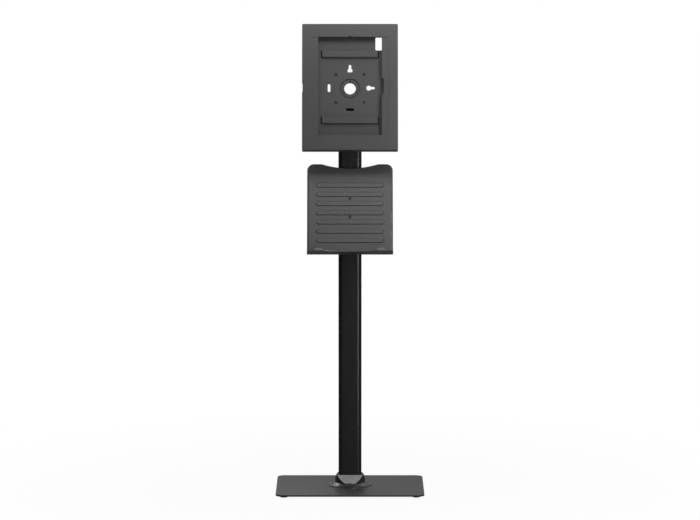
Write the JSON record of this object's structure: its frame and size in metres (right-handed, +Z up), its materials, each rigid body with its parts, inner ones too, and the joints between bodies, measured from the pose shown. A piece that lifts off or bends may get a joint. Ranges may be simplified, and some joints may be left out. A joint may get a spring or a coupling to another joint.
{
  "type": "tablet security floor stand",
  "caption": "Floor stand for a tablet: lockable tilting and swivelling steel enclosure, sloping document tray, hollow pole and flat base plate with rubber feet.",
  "frame": {"origin": "on the floor, under the centre of the rectangular base plate", "axes": "+Z up along the pole, -Y to the viewer, +X to the viewer's right"},
  "size_m": [0.4, 0.289, 1.2659],
  "materials": {
    "grey_coat": "matt fine-texture powder coat, charcoal grey",
    "base_coat": "matt fine-texture powder coat, charcoal grey",
    "dark_coat": "satin black powder coat",
    "pole_black": "black anodised, fine lengthwise brushing",
    "collar_gloss": "polished black moulding",
    "black_plastic": "matt black moulding",
    "washer_plastic": "smooth dark nylon",
    "black_screw": "black oxide steel",
    "bright_steel": "zinc plated",
    "lock_chrome": "bright chrome",
    "rubber": "matt black rubber"
  },
  "bodies": {
    "stand": {"base_plate": "base_coat", "base_feet": "rubber", "base_bolts": "black_screw", "collar": "collar_gloss", "pole": "pole_black", "cable_bushing": "black_plastic", "pole_cap": "black_plastic", "head_yoke": "dark_coat", "yoke_screws": "black_screw", "document_tray": "grey_coat", "tray_bracket": "dark_coat", "tray_screws": "black_screw", "tray_bracket_screws": "black_screw"},
    "tilt_head": {"tilt_bracket": "dark_coat", "tilt_washers": "washer_plastic", "tilt_bolt": "black_screw", "tilt_nut": "black_screw", "swivel_washer": "washer_plastic", "keeper_ring": "grey_coat", "keeper_screws": "black_screw"},
    "enclosure": {"swivel_plate": "dark_coat", "enclosure_screws": "black_screw", "back_housing": "grey_coat", "cross_bar_upper": "grey_coat", "cross_bar_lower": "grey_coat", "hinge_pins": "bright_steel", "lock_body": "lock_chrome", "lock_nut": "bright_steel"},
    "cover": {"front_cover": "grey_coat", "adapter_strip_left": "grey_coat", "adapter_strip_right": "grey_coat", "strip_nuts": "bright_steel", "lock_catch": "grey_coat"},
    "lock_key_core": {"lock_core": "lock_chrome", "lock_cam": "bright_steel", "cam_screw": "bright_steel"}
  },
  "joints": [
    {"name": "tilt", "type": "hinge", "parent": "stand", "child": "tilt_head", "pos_m": [0, -0.02745, 1.05803], "axis": [1, 0, 0], "range_deg": [-76, 14]},
    {"name": "swivel", "type": "hinge", "parent": "tilt_head", "child": "enclosure", "pos_m": [0, -0.0493, 1.0944], "axis": [0, -0.9703, 0.2419], "range_deg": [-90, 90]},
    {"name": "cover_swing", "type": "hinge", "parent": "enclosure", "child": "cover", "pos_m": [0.1248, -0.04348, 1.09295], "axis": [0, 0.2419, 0.9703], "range_deg": [0, 110]},
    {"name": "lock_turn", "type": "hinge", "parent": "enclosure", "child": "lock_key_core", "pos_m": [-0.118, -0.05852, 1.0967], "axis": [-1, 0, 0], "range_deg": [0, 90]}
  ]
}
